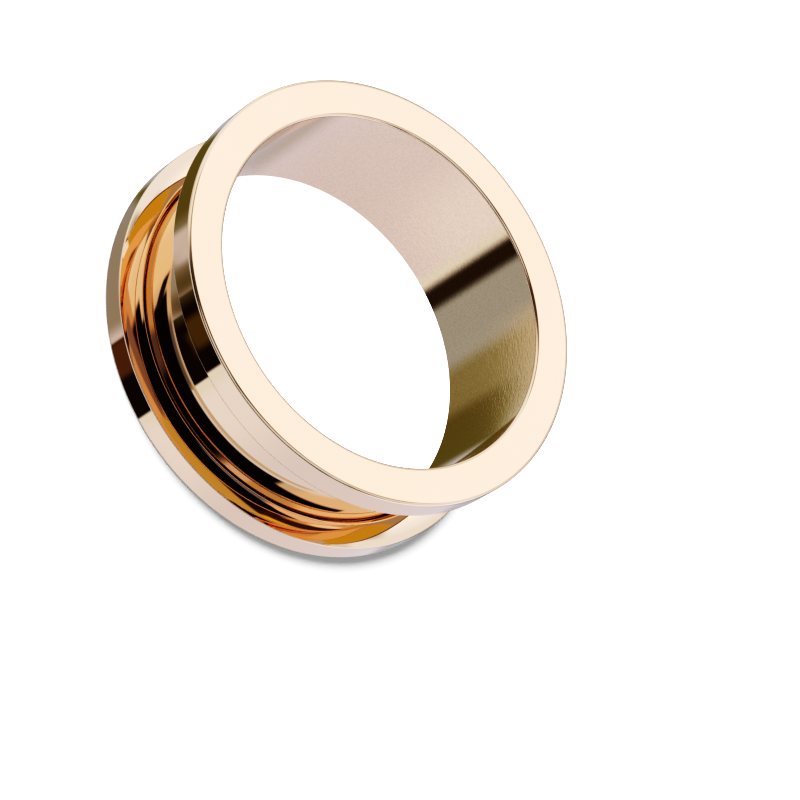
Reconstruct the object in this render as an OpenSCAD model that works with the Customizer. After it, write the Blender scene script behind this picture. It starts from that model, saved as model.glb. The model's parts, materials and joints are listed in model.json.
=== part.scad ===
// Screw-fit ear tunnel: a flanged tube and the back ring that screws onto its end.
// It stands on the back ring with its bore upright, origin at the middle of its foot.

/* [Tube] */
// Outside diameter of the tube, the size that the piercing is stretched to
tube_d = 25; // [16:0.5:50]
// Thickness of the tube's wall
wall_t = 0.55; // [0.5:0.05:2]
// Clear length between the two flanges, where the ear sits
wear_l = 6.2; // [4:0.1:16]

/* [Flanges] */
// How far the front flange stands out past the tube
flange_lip = 2; // [1:0.1:4]
// Thickness of the front flange
flange_t = 1.9; // [1:0.1:3]
// How far the back ring stands out past the tube
ring_lip = 2; // [1:0.1:4]
// Thickness of the back ring
ring_t = 1.9; // [1.6:0.1:3]
// How far the tube's end stays inside the ring's back face
end_recess = 0.1; // [0.05:0.05:0.2]

/* [Edges] */
// Width of the bevel on the outer edges of the flange and the ring
rim_bevel = 0.17; // [0.1:0.01:0.4]
// Width of the bevel where the bore meets the front face
bore_bevel = 0.17; // [0.1:0.01:0.4]
// Width of the bevel where the bore meets the tube's end
end_bevel = 0.08; // [0.04:0.01:0.1]
// Width of the bevel round the mouth of the ring's threaded hole
mouth_bevel = 0.4; // [0.3:0.05:0.5]
// Width of the bevel on the back of the ring's threaded hole
back_bevel = 0.2; // [0.1:0.05:0.3]

/* [Thread] */
// Advance in one turn
pitch = 0.4; // [0.35:0.05:0.5]
// Height of each ridge above its root
thread_depth = 0.25; // [0.2:0.01:0.28]
// Width of each ridge at its crest
crest_w = 0.06; // [0.04:0.01:0.1]
// Width of each ridge at its root
root_w = 0.26; // [0.2:0.01:0.28]
// How far the male crest lies below the tube's surface
crest_drop = 0.1; // [0.05:0.01:0.12]
// Gap from each crest to the root that faces it
thread_clear = 0.05; // [0.03:0.01:0.08]
// Gap between the tube's sloped shoulder and the mouth of the ring
shoulder_clear = 0.07; // [0.04:0.01:0.12]

/* [Hidden] */
$fn = 96;
rose_gold = [0.93, 0.72, 0.6];

tube_r = tube_d / 2;
bore_r = tube_r - wall_t;
flange_r = tube_r + flange_lip;
ring_r = tube_r + ring_lip;
front_z = ring_t + wear_l + flange_t;
flange_back_z = front_z - flange_t;

// Thread radii: each crest faces the other piece's root across thread_clear
male_crest_r = tube_r - crest_drop;
male_root_r = male_crest_r - thread_depth;
female_crest_r = male_root_r + thread_clear;
female_root_r = male_crest_r + thread_clear;

// The ring's mouth is a 45 degree bevel, and the tube's shoulder runs parallel to it:
// on the shoulder r - z is shoulder_line
mouth_z = ring_t - mouth_bevel;
mouth_r = female_root_r + mouth_bevel;
shoulder_gap = shoulder_clear * sqrt(2);
shoulder_line = mouth_r - ring_t - shoulder_gap;
shoulder_top_z = tube_r - shoulder_line;
shoulder_foot_z = male_root_r - shoulder_line;

// Each ridge has its base sunk into the wall that carries it, to twice the depth
// at which its ends run out, and turn_steps steps to a turn
ridge_sink = 0.1;
ridge_margin = 0.03;
turn_steps = 72;
fade_steps = turn_steps / 8;
flank = (root_w - crest_w) / 2 / thread_depth;
base_half_w = root_w / 2 + flank * ridge_sink;

// First and last height of each ridge's middle line
male_z0 = end_recess + base_half_w + ridge_margin;
male_z1 = shoulder_foot_z - ridge_margin;
female_z0 = back_bevel - ridge_sink + base_half_w + ridge_margin;
female_z1 = female_crest_r - shoulder_line - crest_w / 2 - shoulder_gap;

// Thread ridge: a trapezoid section carried up a helix of radius root_r. The section is
// root_w wide at root_r and crest_w wide at crest_r, and at both ends of the ridge its
// crest sinks below the root over fade_steps steps. shift moves the ridge along the axis
// by a share of the pitch.
module ridge(crest_r, root_r, z0, z1, shift) {
    out = sign(crest_r - root_r);
    base_r = root_r - out * ridge_sink;
    buried_r = root_r - out * ridge_sink / 2;
    first = ceil((z0 / pitch - shift) * turn_steps);
    last = floor((z1 / pitch - shift) * turn_steps);
    function fade(i) = min(1, (i - first) / fade_steps, (last - i) / fade_steps);
    function top_r(i) = buried_r + (crest_r - buried_r) * fade(i);
    function half_w(r) = root_w / 2 - flank * out * (r - root_r);
    function at(i, r, h) = [
        r * cos(360 * i / turn_steps),
        r * sin(360 * i / turn_steps),
        pitch * (i / turn_steps + shift) + h
    ];
    function section(i) = [
        at(i, base_r, -base_half_w),
        at(i, top_r(i), -half_w(top_r(i))),
        at(i, top_r(i), half_w(top_r(i))),
        at(i, base_r, base_half_w)
    ];
    // The order of the corners turns with the side that the ridge points to
    function tri(a, b, c) = out > 0 ? [a, b, c] : [a, c, b];
    sides = [
        for (i = [0 : last - first - 1], k = [0 : 3])
            let (a = 4 * i + k, b = 4 * i + (k + 1) % 4, c = b + 4, d = a + 4)
                each [tri(a, b, c), tri(a, c, d)]
    ];
    e = 4 * (last - first);
    ends = [tri(0, 2, 1), tri(0, 3, 2), tri(e, e + 1, e + 2), tri(e, e + 2, e + 3)];
    polyhedron(
        points = [for (i = [first : last]) each section(i)],
        faces = concat(sides, ends),
        convexity = 6
    );
}

// Front flange, straight tube and male thread, turned from one bar
module tunnel_body() {
    color(rose_gold) {
        rotate_extrude()
            polygon([
                [bore_r + bore_bevel, front_z],
                [flange_r - rim_bevel, front_z],
                [flange_r, front_z - rim_bevel],
                [flange_r, flange_back_z + rim_bevel],
                [flange_r - rim_bevel, flange_back_z],
                [tube_r, flange_back_z],
                [tube_r, shoulder_top_z],
                [male_root_r, shoulder_foot_z],
                [male_root_r, end_recess],
                [bore_r + end_bevel, end_recess],
                [bore_r, end_recess + end_bevel],
                [bore_r, front_z - bore_bevel]
            ]);
        ridge(male_crest_r, male_root_r, male_z0, male_z1, 0);
    }
}

// Back flange with its female thread
module back_ring() {
    color(rose_gold) {
        rotate_extrude()
            polygon([
                [mouth_r, ring_t],
                [ring_r - rim_bevel, ring_t],
                [ring_r, ring_t - rim_bevel],
                [ring_r, rim_bevel],
                [ring_r - rim_bevel, 0],
                [female_root_r + back_bevel, 0],
                [female_root_r, back_bevel],
                [female_root_r, mouth_z]
            ]);
        ridge(female_crest_r, female_root_r, female_z0, female_z1, 0.5);
    }
}

tunnel_body();
back_ring();
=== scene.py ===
"""Screw-fit ear tunnel in rose-gold coated steel, lying on its back ring on a white table.

Lengths are in millimetres, apart from those said to be in metres. MM turns one to metres where a
mesh or a node is made.
"""

import json

import bpy
import numpy as np
from mathutils import Matrix, Vector


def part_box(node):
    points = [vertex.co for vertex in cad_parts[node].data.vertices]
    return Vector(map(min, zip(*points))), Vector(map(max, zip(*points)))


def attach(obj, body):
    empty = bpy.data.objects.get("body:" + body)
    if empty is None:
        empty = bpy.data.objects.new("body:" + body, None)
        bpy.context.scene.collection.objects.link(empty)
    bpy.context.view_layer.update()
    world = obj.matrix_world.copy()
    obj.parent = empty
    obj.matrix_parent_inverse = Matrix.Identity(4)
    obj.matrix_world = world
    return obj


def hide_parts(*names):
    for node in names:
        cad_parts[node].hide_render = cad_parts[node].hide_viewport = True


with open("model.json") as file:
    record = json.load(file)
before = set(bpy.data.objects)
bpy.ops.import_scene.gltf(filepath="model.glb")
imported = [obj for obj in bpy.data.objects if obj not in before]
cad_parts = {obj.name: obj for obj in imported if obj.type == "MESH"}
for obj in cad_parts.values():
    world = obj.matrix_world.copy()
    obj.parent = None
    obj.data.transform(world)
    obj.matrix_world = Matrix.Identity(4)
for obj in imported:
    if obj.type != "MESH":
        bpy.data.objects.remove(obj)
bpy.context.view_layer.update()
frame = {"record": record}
scene = bpy.context.scene

MM = 0.001

# Sizes taken from the frame
mounts = {mount["name"]: mount for mount in frame["record"]["mounts"]}
BODY_LOW, BODY_HIGH = (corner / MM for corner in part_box("tunnel_body"))
RING_LOW, RING_HIGH = (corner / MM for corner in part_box("back_ring"))
BORE_R = mounts["bore"]["dims"]["r_mm"]
TUBE_R = mounts["ear_seat"]["dims"]["r_mm"]
WEAR_L = mounts["ear_seat"]["dims"]["length_mm"]
FLANGE_R = BODY_HIGH.x
RING_R = RING_HIGH.x
FRONT_Z = BODY_HIGH.z
END_Z = BODY_LOW.z
RING_T = RING_HIGH.z
FLANGE_BACK_Z = RING_T + WEAR_L

# Edges, as (how far one is eased before its corner, how far after it). FLANGE_EDGE and FOOT_EDGE
# are (across the flat face, along the round wall). The ring's front is domed: it falls by DOME_DROP
# over the last DOME_W before its rim. Each BEVEL is a 45 degree bevel's width.
FLANGE_EDGE = (0.23, 0.13)
FOOT_EDGE = (0.2, 0.14)
FINE_EDGE = (0.01, 0.01)
RIM_EDGE = (0.08, 0.08)
MOUTH_EDGE = (0.06, 0.06)
SHOULDER_EDGE = (0.03, 0.03)
FILLET = (0.06, 0.06)
DOME_W = 0.9
DOME_DROP = 0.15
DOME_BEND = (0.7, 0.64)
END_BEVEL = 0.08
MOUTH_BEVEL = 0.4
BACK_BEVEL = 0.2

# Thread. MALE_SPAN and FEMALE_SPAN are the first and last height of each ridge's middle, and each
# SHIFT moves its ridge along the axis by a share of the pitch. RUN_OUT is a share of a turn.
PITCH = 0.4
THREAD_DEPTH = 0.25
CREST_W = 0.06
ROOT_W = 0.26
CREST_DROP = 0.1
THREAD_CLEAR = 0.05
SHOULDER_GAP = 0.099
MALE_CREST_R = TUBE_R - CREST_DROP
MALE_ROOT_R = MALE_CREST_R - THREAD_DEPTH
FEMALE_ROOT_R = MALE_CREST_R + THREAD_CLEAR
MOUTH_R = FEMALE_ROOT_R + MOUTH_BEVEL
SHOULDER_LINE = MOUTH_R - RING_T - SHOULDER_GAP
SHOULDER_TOP_Z = TUBE_R - SHOULDER_LINE
SHOULDER_FOOT_Z = MALE_ROOT_R - SHOULDER_LINE
MALE_SPAN = (0.3, 1.269)
FEMALE_SPAN = (0.3, 1.22)
MALE_SHIFT = 0.0
FEMALE_SHIFT = 0.5
RUN_OUT = 0.125

# Finishes. Each pattern has so many patches to a millimetre, and the reamer lines of the bore lie
# LINE_SQUEEZE times closer along it than round it. The bore's finish reaches FINISH_REACH past its
# wall, and bare steel starts BARE_REACH past it. A pattern is eased from the first number of its
# SPREAD to the second.
DRIFT_PER_MM = 0.18
HAZE_PER_MM = 0.5
GRAIN_PER_MM = 7.5
LINES_PER_MM = 2.6
LINE_SQUEEZE = 3
LINE_DEPTH = 0.0009
GRAIN_SPREAD = (0.42, 0.6)
HAZE_SPREAD = (0.35, 0.7)
POLISH_ROUGHNESS = (0.012, 0.035)
BORE_ROUGHNESS = 0.06
BARE_ROUGHNESS = 0.22
FINISH_REACH = 0.06
BARE_REACH = 0.1

# Settings that more than one node shares
EASED = {"interpolation_type": "SMOOTHSTEP"}
IN_COLOUR = {"data_type": "RGBA"}

# Table and its lamp, with TABLE_SIZE, KEY_SIZE and KEY_PLACE in metres. KEY_PLACE is up and to the
# left of the picture, so that the shadow falls below the object in it. TABLE_SKY is the studio's
# even light on the table, and BACK_WHITE is what the camera sees past it.
TABLE_SIZE = 4.0
TABLE_SKY = 0.2
TABLE_GLOW = 0.27
# Painted light: under the bore the table glows far brighter than elsewhere, a painted pool of light that
# lifts the shade its walls cast on the table there. It fills a circle just inside the ring's hole and
# fades out over a little more.
PAINTED_SPOT_GLOW = 1.4
PAINTED_SPOT_R = 12.6
PAINTED_SPOT_FADE = 1.2
BACK_WHITE = 2.0
KEY_POWER = 3.6
KEY_SIZE = 0.32
KEY_PLACE = (-0.18, 0.062, 0.33)

# Grid of the turned surfaces: columns round the axis, steps in an eased corner, how far past it the
# guarding point lies, and the longest steps along the thread and along other straight stretches
COLUMNS = 480
ARC_STEPS = 8
GUARD = 0.012
THREAD_STEP = 0.024
WALL_STEP = 1.6


def section(corners):
    """Closed outline through corners of (radius, height, reach back, reach ahead), each eased.

    The easing leaves the side before its corner, one reach back from it, and meets the side after it,
    one reach ahead. Between them it is a quarter of an ellipse, sheared to the corner's angle: corner +
    back * (1 - sin t) + ahead * (1 - cos t) for t from 0 to 90 degrees, where back and ahead run along
    the two sides and are as long as the reaches. One more point lies just past each end, so that the
    flat stretches stay flat when the surface is shaded smooth.
    """
    corner, reach = np.array(corners)[:, None, :2], np.array(corners)[:, None, 2:]
    back = np.roll(corner, 1, axis=0) - corner
    ahead = np.roll(corner, -1, axis=0) - corner
    back /= np.linalg.norm(back, axis=2, keepdims=True)
    ahead /= np.linalg.norm(ahead, axis=2, keepdims=True)
    turn = np.linspace(0, np.pi / 2, ARC_STEPS + 1)[None, :, None]
    arc = corner + back * reach[..., :1] * (1 - np.sin(turn)) + ahead * reach[..., 1:] * (1 - np.cos(turn))
    before = corner + back * (reach[..., :1] + GUARD)
    after = corner + ahead * (reach[..., 1:] + GUARD)
    return np.concatenate([before, arc, after], axis=1).reshape(-1, 2)


def divided(outline, is_fine):
    """The same outline with its straight stretches cut into equal steps.

    A stretch gets length / step pieces, rounded up, where step is THREAD_STEP if is_fine says so of
    its middle (radius, height), and WALL_STEP elsewhere.
    """
    ahead = np.roll(outline, -1, axis=0)
    length = np.linalg.norm(ahead - outline, axis=1)
    step = np.where(is_fine(*((outline + ahead) / 2).T), THREAD_STEP, WALL_STEP)
    pieces = np.ceil(length / step).astype(int)
    stretch = np.repeat(np.arange(len(outline)), pieces)
    first = np.repeat(np.cumsum(pieces) - pieces, pieces)
    share = ((np.arange(len(stretch)) - first) / pieces[stretch])[:, None]
    return outline[stretch] * (1 - share) + ahead[stretch] * share


def ridge_height(angle, height, span, shift):
    """How far a thread's ridge stands over its root, for arrays of angle (in turns) and height.

    The ridge's middle runs at height pitch * (angle + turn + shift). Across it the ridge is a
    trapezoid, ROOT_W wide at its foot and CREST_W at its crest, eased by a smoothstep. Towards both
    ends of its span it sinks to nothing over RUN_OUT of a turn.
    """
    turn = np.round(height / PITCH - angle - shift)
    middle = PITCH * (angle + turn + shift)
    rise = np.clip((ROOT_W / 2 - np.abs(height - middle)) / ((ROOT_W - CREST_W) / 2), 0, 1)
    ends = np.minimum(middle - span[0], span[1] - middle)
    return THREAD_DEPTH * rise * rise * (3 - 2 * rise) * np.clip(ends / (RUN_OUT * PITCH), 0, 1)


def turned(name, outline, threaded):
    """Mesh object of a closed outline turned about the Z axis, with its faces pointing outwards.

    A vertex is (radius * cos, radius * sin, height) on a grid of outline points by angles, and
    threaded(radius, height, angle) may move the radius. Both directions of the grid close.
    """
    angle = np.arange(COLUMNS)[None] / COLUMNS
    height = np.repeat(outline[:, 1:], COLUMNS, axis=1)
    radius = threaded(outline[:, :1] + 0 * angle, height, angle + 0 * height)
    turn = 2 * np.pi * angle
    places = np.stack([radius * np.cos(turn), radius * np.sin(turn), height], axis=-1) * MM
    row, column = np.meshgrid(np.arange(len(outline)), np.arange(COLUMNS), indexing="ij")
    next_row, next_column = (row + 1) % len(outline), (column + 1) % COLUMNS
    corners = [(row, column), (row, next_column), (next_row, next_column), (next_row, column)]
    faces = np.stack([r * COLUMNS + c for r, c in corners], axis=-1).reshape(-1, 4)
    mesh = bpy.data.meshes.new(name)
    mesh.vertices.add(places.size // 3)
    mesh.vertices.foreach_set("co", places.ravel())
    mesh.loops.add(faces.size)
    mesh.loops.foreach_set("vertex_index", faces.ravel())
    mesh.polygons.add(len(faces))
    mesh.polygons.foreach_set("loop_start", np.arange(0, faces.size, 4))
    mesh.update(calc_edges=True)
    mesh.shade_smooth()
    piece = bpy.data.objects.new(name, mesh)
    scene.collection.objects.link(piece)
    return piece


def flanged_tube():
    """Front flange, straight tube and male thread, turned from one bar.

    Along the thread, where is_fine holds, the radius is the root's plus the ridge's height, unless the
    outline's is more.
    """
    across, down = FLANGE_EDGE
    corners = [
        (BORE_R, FRONT_Z, across, down),
        (BORE_R, END_Z + END_BEVEL, *FINE_EDGE),
        (BORE_R + END_BEVEL, END_Z, *FINE_EDGE),
        (MALE_ROOT_R, END_Z, *FINE_EDGE),
        (MALE_ROOT_R, SHOULDER_FOOT_Z, *FINE_EDGE),
        (TUBE_R, SHOULDER_TOP_Z, *SHOULDER_EDGE),
        (TUBE_R, FLANGE_BACK_Z, *FILLET),
        (FLANGE_R, FLANGE_BACK_Z, across, down),
        (FLANGE_R, FRONT_Z, down, across),
    ]

    def is_fine(radius, height):
        return (radius > MALE_ROOT_R - GUARD) & (height < SHOULDER_TOP_Z)

    def threaded(radius, height, angle):
        ridge = MALE_ROOT_R + ridge_height(angle, height, MALE_SPAN, MALE_SHIFT)
        return np.where(is_fine(radius, height), np.maximum(radius, ridge), radius)

    return turned("flanged_tube", divided(section(corners), is_fine), threaded)


def threaded_ring():
    """Back flange with the female thread in its hole.

    Along the thread, where is_fine holds, the radius is the outline's less the ridge's height.
    """
    foot_across, foot_down = FOOT_EDGE
    corners = [
        (MOUTH_R, RING_T, *MOUTH_EDGE),
        (FEMALE_ROOT_R, RING_T - MOUTH_BEVEL, *FINE_EDGE),
        (FEMALE_ROOT_R, BACK_BEVEL, *FINE_EDGE),
        (FEMALE_ROOT_R + BACK_BEVEL, RING_LOW.z, *FINE_EDGE),
        (RING_R, RING_LOW.z, foot_across, foot_down),
        (RING_R, RING_T - DOME_DROP, *RIM_EDGE),
        (RING_R - DOME_W, RING_T, *DOME_BEND),
    ]

    def is_fine(radius, height):
        return (radius < FEMALE_ROOT_R + GUARD) & (height > BACK_BEVEL / 2)

    def threaded(radius, height, angle):
        ridge = ridge_height(angle, height, FEMALE_SPAN, FEMALE_SHIFT)
        return np.where(is_fine(radius, height), radius - ridge, radius)

    return turned("threaded_ring", divided(section(corners), is_fine), threaded)


def linear(hex_colour):
    """Linear RGBA from an sRGB colour such as "F6DDC7"."""
    value = np.array([int(hex_colour[i : i + 2], 16) for i in (0, 2, 4)]) / 255
    light = np.where(value <= 0.04045, value / 12.92, ((value + 0.055) / 1.055) ** 2.4)
    return (*light.tolist(), 1.0)


def add(tree, kind, inputs=None, **settings):
    """Adds a node with its settings, constants and links.

    inputs maps the node's sockets, by name or number, to constants, to other nodes' outputs, or to
    other nodes, each of which gives the first output that its settings leave in use.
    """
    made = tree.nodes.new(kind)
    for name, value in settings.items():
        setattr(made, name, value)
    for socket, value in (inputs or {}).items():
        if isinstance(value, bpy.types.Node):
            value = next(output for output in value.outputs if output.enabled)
        if isinstance(value, bpy.types.NodeSocket):
            tree.links.new(value, made.inputs[socket])
        else:
            made.inputs[socket].default_value = value
    return made


def rose_gold_steel(name, bore_r, bare_below):
    """Stainless steel, turned and mirror polished, with a rose-gold vapour coating.

    The polish gives hard, almost unblurred reflections with a faint haze that comes and goes. A wall
    within bore_r keeps the fine lines of its reamer, which run round it and fray the edges of
    reflections. Below bare_below the outside is uncoated steel, where the thread is cut after
    coating.
    """
    material = bpy.data.materials.new(name)
    material.use_nodes = True
    tree = material.node_tree
    tree.nodes.clear()
    place = add(tree, "ShaderNodeTexCoord").outputs["Object"]
    flat = add(tree, "ShaderNodeVectorMath", {0: place, 1: (1, 1, 0)}, operation="MULTIPLY")
    radius = add(tree, "ShaderNodeVectorMath", {0: flat}, operation="LENGTH")
    height = add(tree, "ShaderNodeSeparateXYZ", {0: place}).outputs["Z"]

    finish_r, bare_r = (bore_r + FINISH_REACH) * MM, (bore_r + BARE_REACH) * MM
    in_bore = add(tree, "ShaderNodeMath", {0: radius, 1: finish_r}, operation="LESS_THAN")
    below = add(tree, "ShaderNodeMath", {0: height, 1: bare_below * MM}, operation="LESS_THAN")
    outside = add(tree, "ShaderNodeMath", {0: radius, 1: bare_r}, operation="GREATER_THAN")
    bare = add(tree, "ShaderNodeMath", {0: below, 1: outside}, operation="MULTIPLY")

    # The coating's colour drifts slightly with its thickness, over a few millimetres
    drifting = {"Vector": place, "Scale": DRIFT_PER_MM / MM, "Detail": 2.0}
    drift = add(tree, "ShaderNodeTexNoise", drifting)
    coats = {0: drift, 6: linear("F7DCBE"), 7: linear("F5DABA")}
    coating = add(tree, "ShaderNodeMix", coats, **IN_COLOUR)

    # Fine grain of the bore's coating, in specks of about 0.13 mm, as coarse as they need to show
    grain = add(tree, "ShaderNodeTexNoise", {"Vector": place, "Scale": GRAIN_PER_MM / MM, "Detail": 1.0})
    grain_from, grain_to = GRAIN_SPREAD
    spread = {"Value": grain, "From Min": grain_from, "From Max": grain_to}
    specks = add(tree, "ShaderNodeMapRange", spread, **EASED)
    speck = add(tree, "ShaderNodeMath", {0: specks, 1: in_bore}, operation="MULTIPLY")
    grained = add(tree, "ShaderNodeMix", {0: speck, 6: coating, 7: linear("EFD5B8")}, **IN_COLOUR)
    colour = add(tree, "ShaderNodeMix", {0: bare, 6: grained, 7: linear("C9C6C1")}, **IN_COLOUR)

    # Haze left by the polishing wheel, in patches of about 2 mm
    haze = add(tree, "ShaderNodeTexNoise", {"Vector": place, "Scale": HAZE_PER_MM / MM, "Detail": 4.0})
    haze_from, haze_to = HAZE_SPREAD
    clearest, haziest = POLISH_ROUGHNESS
    limits = {"From Min": haze_from, "From Max": haze_to, "To Min": clearest, "To Max": haziest}
    polish = add(tree, "ShaderNodeMapRange", {"Value": haze, **limits}, **EASED)
    to_bore = {"Value": in_bore, "To Min": polish, "To Max": BORE_ROUGHNESS}
    coated = add(tree, "ShaderNodeMapRange", to_bore, **EASED)
    to_bare = {"Value": bare, "To Min": coated, "To Max": BARE_ROUGHNESS}
    roughness = add(tree, "ShaderNodeMapRange", to_bare, **EASED)

    # Reamer lines of the bore, drawn out round it and about 0.13 mm apart, as coarse as they need to show
    squeeze = (1, 1, LINE_SQUEEZE)
    drawn_out = add(tree, "ShaderNodeVectorMath", {0: place, 1: squeeze}, operation="MULTIPLY")
    reamed = {"Vector": drawn_out, "Scale": LINES_PER_MM / MM, "Detail": 1.0}
    lines = add(tree, "ShaderNodeTexNoise", reamed)
    line_height = add(tree, "ShaderNodeMath", {0: lines, 1: in_bore}, operation="MULTIPLY")
    bumps = {"Height": line_height, "Strength": 1.0, "Distance": LINE_DEPTH * MM}
    bump = add(tree, "ShaderNodeBump", bumps)

    inputs = {"Base Color": colour, "Roughness": roughness, "Normal": bump, "Metallic": 1.0}
    shader = add(tree, "ShaderNodeBsdfPrincipled", inputs)
    add(tree, "ShaderNodeOutputMaterial", {"Surface": shader})
    return material


# Studio that the metal reflects, as cards painted one over the other on a sphere round the object:
# (what it is, azimuth from and to, elevation from and to, softness of its sides and of its top and
# bottom, linear red, green and blue light), in degrees. Azimuth 0 is in front of the object, on the
# camera's side, and 90 is along +X. A card that leans has one more number: how far it rises for each
# degree of azimuth past its middle. The tables and the lights are a cool white.
WHITE_ROOM = (0.72, 0.77, 0.88)
SHARPEST = 0.01
STUDIO = [
    ("white table", -180, 180, -90, -25, 0, 20, (0.73, 0.76, 0.95)),
    ("lamplight on the table", -30, 36, -75, -25, 44, 10, (0.84, 0.88, 1.06)),
    ("table seen in the bore", -9, 172, -48.8, -46.95, 6, 0.5, (0.7, 0.72, 0.9)),
    ("table behind", 150, 210, -90, -25, 14, 20, (0.6, 0.66, 0.84)),
    ("table's far edge", 150, 210, -50.2, -48.4, 14, 0.4, (0.48, 0.5, 0.56)),
    ("table behind, in the bore", 132, 213, -48.4, -25, 24, 0.2, (0.52, 0.53, 0.6)),
    ("white card left", -160, -84, -59, -52, 10, 0.6, (0.98, 1.26, 1.9)),
    ("brass card", 150, 214, -57, -50.2, 8, 0.6, (0.64, 0.56, 0.13)),
    ("white card right", 118, 146, -54.2, -51.7, 8, 0.6, (1.08, 1.3, 1.9)),
    ("warm card", -10, 128, -70, -61.5, 20, 1.5, (0.65, 0.79, 0.6)),
    ("warm card's end", 98, 142, -62, -58.2, 8, 1.5, (0.84, 0.88, 0.27)),
    ("grey card", -100, -8, -66, -61.5, 10, 1.5, (0.36, 0.41, 0.6)),
    ("black flag", -80, 102, -61.5, -52.2, 10, 1.5, (0.05, 0.025, 0.04)),
    ("black flag's end", 92, 152, -58.2, -54.8, 8, 1, (0.12, 0.08, 0.05), 0.09),
    ("cream light", -15, -5, -51.6, -25, 8, 0.4, (0.78, 0.85, 0.93)),
    ("grey wall", -148, -57, -51.6, -25, 14, 0.4, (0.36, 0.37, 0.38)),
    ("wooden cabinet", -150, -91, -49.85, -46.95, 18, 0.3, (0.2, 0.19, 0.06)),
    ("lamp on the wall", -87.5, -68, -49.95, -48.7, 6, 0.15, (0.6, 0.61, 0.72)),
    ("dark doorway", -53, -11.5, -61, -48.75, 2, 0.2, (0.03, 0.015, 0.01)),
    ("doorway's edge", -66, -51, -50.45, -48.8, 14, 0.3, (0.2, 0.18, 0.1)),
    ("brown door", -40.5, -24, -50.38, -48.8, 6, 0.15, (0.16, 0.11, 0.03)),
    ("red-brown door", -53, -34, -52, -50.9, 5, 0.3, (0.17, 0.09, 0.04)),
    ("yellowed curtain", -98, -50, -48.7, -25, 16, 0.3, (0.31, 0.31, 0.21)),
    ("grey curtain", -66, -20, -48.7, -25, 14, 0.3, (0.42, 0.48, 0.54)),
    ("door seen in the bore", -26, -12.5, -48.75, -25, 7, 0.2, (0.07, 0.05, 0.03)),
    ("light over the curtain", -148, -58, -46.9, -44, 20, 0.4, (0.6, 0.62, 0.59), 0.0107),
    ("gap behind the table", 120, 240, -44, 13, 12, 4, (0.16, 0.15, 0.16)),
    ("gap over the left lamp", -176, -62, 54, 75, 8, 3, (0.14, 0.11, 0.09)),
    ("left lamp", -145, -74, 5, 62, 12, 10, (0.92, 0.94, 1.05)),
    ("brighter end of the left lamp", -150, -112, 5, 62, 16, 10, (0.95, 1.02, 1.1)),
    ("right lamp", 74, 145, 5, 62, 12, 10, (0.83, 0.84, 0.96)),
    ("low left lamp", -128, -82, 8, 34, 12, 8, (0.76, 0.95, 1.25)),
    ("low right lamp", 76, 128, 8, 36, 12, 8, (0.98, 1.18, 1.7)),
    ("strip light", -95, -48, -5, 33.5, 14, 4, (0.66, 0.72, 0.8)),
    ("wall behind the camera", -50, 74, 22, 40, 14, 8, (0.62, 0.75, 0.95)),
    ("dim wall", -50, -9, 33, 38, 10, 3, (0.22, 0.27, 0.4)),
    ("bounce card", -9, 96, 34.3, 36.9, 1.5, 0.7, (0.75, 1.0, 1.7)),
    ("dark room", -66, 62, 37.2, 63, 5, 1.5, (0.02, 0.012, 0.02)),
    ("dark room's left end", -75, -62, 38.6, 44.6, 4, 2, (0.05, 0.04, 0.05), 0.6),
    ("dark room's right end", 20, 114, 42.6, 58, 4, 1.5, (0.02, 0.012, 0.02), 0.112),
    ("right lamp's top", 74, 145, 50, 54, 12, 0.6, (0.87, 0.8, 0.86)),
    ("dark ceiling", -84, 86, 53.4, 63, 8, 1.2, (0.02, 0.012, 0.02)),
    ("grey beam", 22, 76, 50.6, 53.2, 20, 1, (0.3, 0.38, 0.66)),
    ("gap between the lamps overhead", 169, 191, 56, 88, 4, 4, (0.2, 0.19, 0.2)),
    ("brown wall", 158, 202, 50.5, 58, 6, 1, (0.48, 0.5, 0.5)),
    ("softbox behind", 138, 222, 43, 51, 12, 2, (1.0, 1.06, 1.28)),
    ("softbox behind, left", 200, 222, 43, 53.5, 6, 1.5, (0.95, 1.0, 1.2)),
    ("softbox behind, right", 138, 162, 43, 54.5, 6, 1.5, (0.9, 0.95, 1.1)),
    ("softbox's middle", 168, 196, 43.5, 51, 8, 1.5, (1.3, 1.22, 1.36)),
]


def window(tree, away, half, softness):
    """Node that is 1 while away is within half on either side of 0, with edges eased over softness."""
    edge = max(softness, SHARPEST) / 2
    distance = add(tree, "ShaderNodeMath", {0: away}, operation="ABSOLUTE")
    limits = {"From Min": half - edge, "From Max": half + edge}
    outside = add(tree, "ShaderNodeMapRange", {"Value": distance, **limits}, **EASED)
    return add(tree, "ShaderNodeMath", {0: 1.0, 1: outside}, operation="SUBTRACT")


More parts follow.
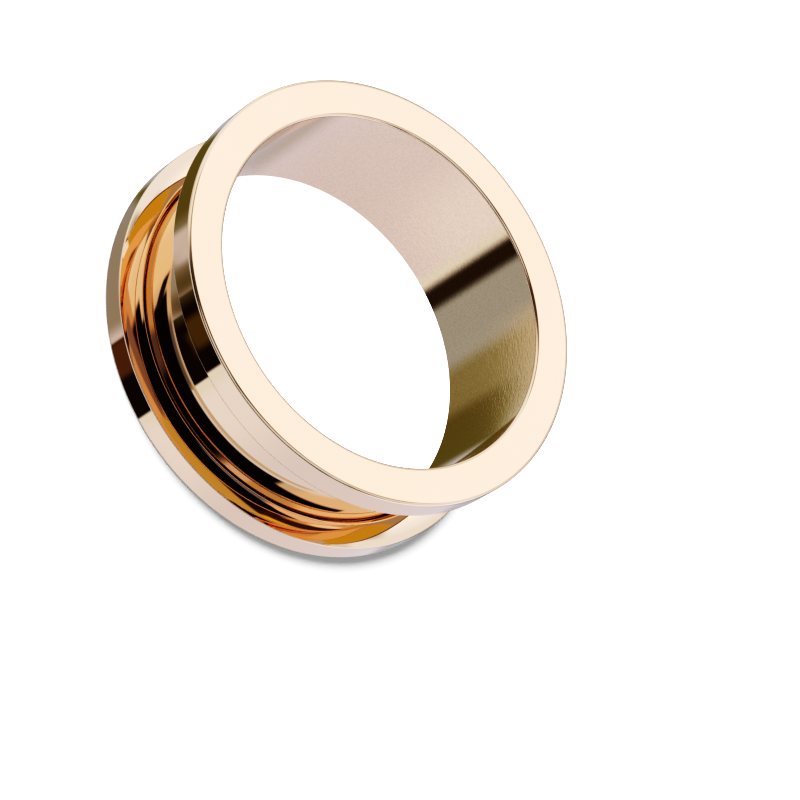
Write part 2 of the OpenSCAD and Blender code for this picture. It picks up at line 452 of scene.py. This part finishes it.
def studio():
    """World that metal sees as STUDIO, the camera as white and the table as even light."""
    world = bpy.data.worlds.new("studio")
    scene.world = world
    world.use_nodes = True
    world.cycles.sampling_method = "NONE"
    tree = world.node_tree
    tree.nodes.clear()
    way = add(tree, "ShaderNodeTexCoord").outputs["Generated"]
    axis = add(tree, "ShaderNodeSeparateXYZ", {0: way}).outputs
    front = add(tree, "ShaderNodeMath", {0: axis["Y"], 1: -1.0}, operation="MULTIPLY")
    bearing = add(tree, "ShaderNodeMath", {0: axis["X"], 1: front}, operation="ARCTAN2")
    azimuth = add(tree, "ShaderNodeMath", {0: bearing}, operation="DEGREES")
    slope = add(tree, "ShaderNodeMath", {0: axis["Z"]}, operation="ARCSINE")
    elevation = add(tree, "ShaderNodeMath", {0: slope}, operation="DEGREES")
    view = (*WHITE_ROOM, 1.0)
    for _, az_from, az_to, el_from, el_to, az_soft, el_soft, light, *lean in STUDIO:
        az_middle, el_middle = (az_from + az_to) / 2, (el_from + el_to) / 2
        turned_by = add(tree, "ShaderNodeMath", {0: azimuth, 1: az_middle}, operation="SUBTRACT")
        across = add(tree, "ShaderNodeMath", {0: turned_by, 1: 180.0, 2: -180.0}, operation="WRAP")
        lean_by = lean[0] if lean else 0.0
        rise = add(tree, "ShaderNodeMath", {0: across, 1: lean_by}, operation="MULTIPLY")
        above_level = add(tree, "ShaderNodeMath", {0: elevation, 1: el_middle}, operation="SUBTRACT")
        above = add(tree, "ShaderNodeMath", {0: above_level, 1: rise}, operation="SUBTRACT")
        sides = window(tree, across, (az_to - az_from) / 2, az_soft)
        ends = window(tree, above, (el_to - el_from) / 2, el_soft)
        share = add(tree, "ShaderNodeMath", {0: sides, 1: ends}, operation="MULTIPLY")
        view = add(tree, "ShaderNodeMix", {0: share, 6: view, 7: (*light, 1.0)}, **IN_COLOUR)
    ray = add(tree, "ShaderNodeLightPath").outputs
    metal = add(tree, "ShaderNodeBackground", {"Color": view})
    white = add(tree, "ShaderNodeBackground", {"Color": (1, 1, 1, 1), "Strength": TABLE_SKY})
    back = add(tree, "ShaderNodeBackground", {"Color": (1, 1, 1, 1), "Strength": BACK_WHITE})
    glossy = add(tree, "ShaderNodeMixShader", {0: ray["Is Glossy Ray"], 1: white, 2: metal})
    seen = add(tree, "ShaderNodeMixShader", {0: ray["Is Camera Ray"], 1: glossy, 2: back})
    add(tree, "ShaderNodeOutputWorld", {"Surface": seen})


def table():
    """White light table under the object; metal doesn't reflect it, as STUDIO holds its reflection.

    It is backlit acrylic, which gives an even white without a grain, glowing with TABLE_GLOW. Under
    the bore, within a radius just inside the ring's hole, it has a painted pool of light, glowing far
    brighter, which lifts the shade that the walls cast on the table there. From below it is clear.
    """
    half = TABLE_SIZE / 2
    mesh = bpy.data.meshes.new("table")
    corners = [(-half, -half, 0), (half, -half, 0), (half, half, 0), (-half, half, 0)]
    mesh.from_pydata(corners, [], [(0, 1, 2, 3)])
    top = bpy.data.objects.new("table", mesh)
    scene.collection.objects.link(top)
    top.visible_glossy = False
    material = bpy.data.materials.new("backlit_white_acrylic")
    material.use_nodes = True
    tree = material.node_tree
    tree.nodes.clear()
    place = add(tree, "ShaderNodeTexCoord").outputs["Object"]
    radius = add(tree, "ShaderNodeVectorMath", {0: place}, operation="LENGTH")
    # Painted pool of light under the bore: inside its circle the glow rises far above TABLE_GLOW
    limits = {"From Min": PAINTED_SPOT_R * MM, "From Max": (PAINTED_SPOT_R + PAINTED_SPOT_FADE) * MM}
    glows = {"To Min": PAINTED_SPOT_GLOW, "To Max": TABLE_GLOW}
    strength = add(tree, "ShaderNodeMapRange", {"Value": radius, **limits, **glows}, **EASED)
    sheet = add(tree, "ShaderNodeBsdfDiffuse", {"Color": linear("F5F5F5")})
    glow = add(tree, "ShaderNodeEmission", {"Color": (1, 1, 1, 1), "Strength": strength})
    lit = add(tree, "ShaderNodeAddShader", {0: sheet, 1: glow})
    clear = add(tree, "ShaderNodeBsdfTransparent")
    under = add(tree, "ShaderNodeNewGeometry").outputs["Backfacing"]
    both = add(tree, "ShaderNodeMixShader", {0: under, 1: lit, 2: clear})
    add(tree, "ShaderNodeOutputMaterial", {"Surface": both})
    mesh.materials.append(material)


def key_light(blocker):
    """Soft lamp above and beside the object; only the table shows it, and only blocker casts a shadow."""
    lamp = bpy.data.lights.new("key", "AREA")
    lamp.shape = "DISK"
    lamp.size = KEY_SIZE
    lamp.energy = KEY_POWER
    light = bpy.data.objects.new("key", lamp)
    light.location = KEY_PLACE
    light.rotation_euler = Vector(KEY_PLACE).to_track_quat("Z", "Y").to_euler()
    light.visible_glossy = False
    light.visible_camera = False
    scene.collection.objects.link(light)
    blockers = bpy.data.collections.new("key_blockers")
    blockers.objects.link(blocker)
    light.light_linking.blocker_collection = blockers


# Camera, from the tunnel's circles in the photograph: how steeply it looks down, how far it is
# rolled, its lens for a 36 mm sensor, and where the front face's middle lies in its own axes
# (right, down, ahead). NEAR and FAR, how close and how far it sees, are in metres.
LOOK_DOWN = 48.38
ROLL = 58.31
LENS = 185.7
SENSOR = 36.0
FACE_PLACE = (-1.027, -6.977, 260.7)
NEAR = 0.01
FAR = 20


def camera():
    """Camera in front of the object, on its -Y side, at the photograph's angle."""
    down, roll = np.radians([LOOK_DOWN, ROLL])
    ahead = np.array([0, np.cos(down), -np.sin(down)])
    level_up = np.array([0, np.sin(down), np.cos(down)])
    right = np.cos(roll) * np.array([1, 0, 0]) + np.sin(roll) * level_up
    up = np.cross(right, ahead)
    face = np.array([0, 0, FRONT_Z])
    place = face - np.array(FACE_PLACE) @ np.array([right, -up, ahead])
    data = bpy.data.cameras.new("camera")
    data.sensor_width = SENSOR
    data.lens = LENS
    data.clip_start = NEAR
    data.clip_end = FAR
    eye = bpy.data.objects.new("camera", data)
    turn = Matrix(np.column_stack([right, up, -ahead]).tolist()).to_4x4()
    eye.matrix_world = Matrix.Translation(Vector(place * MM)) @ turn
    scene.collection.objects.link(eye)
    scene.camera = eye


# Grading of a product photograph, as (light, shown) pairs over a white level of GRADE_WHITE
GRADE_WHITE = 1.3
GRADE = [(0.04, 0.008), (0.1, 0.04), (0.2, 0.18), (0.4, 0.54), (0.55, 0.75), (0.68, 0.87), (0.9, 0.98)]


def grade():
    """Plain view transform with a gentle S-curve: deep blacks and soft highlights."""
    settings = scene.view_settings
    settings.view_transform = "Standard"
    settings.use_curve_mapping = True
    mapping = settings.curve_mapping
    mapping.white_level = (GRADE_WHITE, GRADE_WHITE, GRADE_WHITE)
    curve = mapping.curves[3]
    for light, shown in GRADE:
        curve.points.new(light, shown)
    mapping.update()


tube = flanged_tube()
tube.data.materials.append(rose_gold_steel("rose_gold_coated_steel", BORE_R, SHOULDER_FOOT_Z))
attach(tube, "tunnel")
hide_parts("tunnel_body")

# The ring is coated all over and has no reamed bore of its own
ring = threaded_ring()
ring.data.materials.append(rose_gold_steel("rose_gold_coated_steel_ring", 0.0, RING_LOW.z - 1.0))
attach(ring, "ring")
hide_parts("back_ring")

camera()
studio()
table()
key_light(ring)
grade()

# Light bounces up to a dozen times between the flanges before it leaves the groove
scene.cycles.max_bounces = 16
scene.cycles.glossy_bounces = 12
scene.cycles.caustics_reflective = False
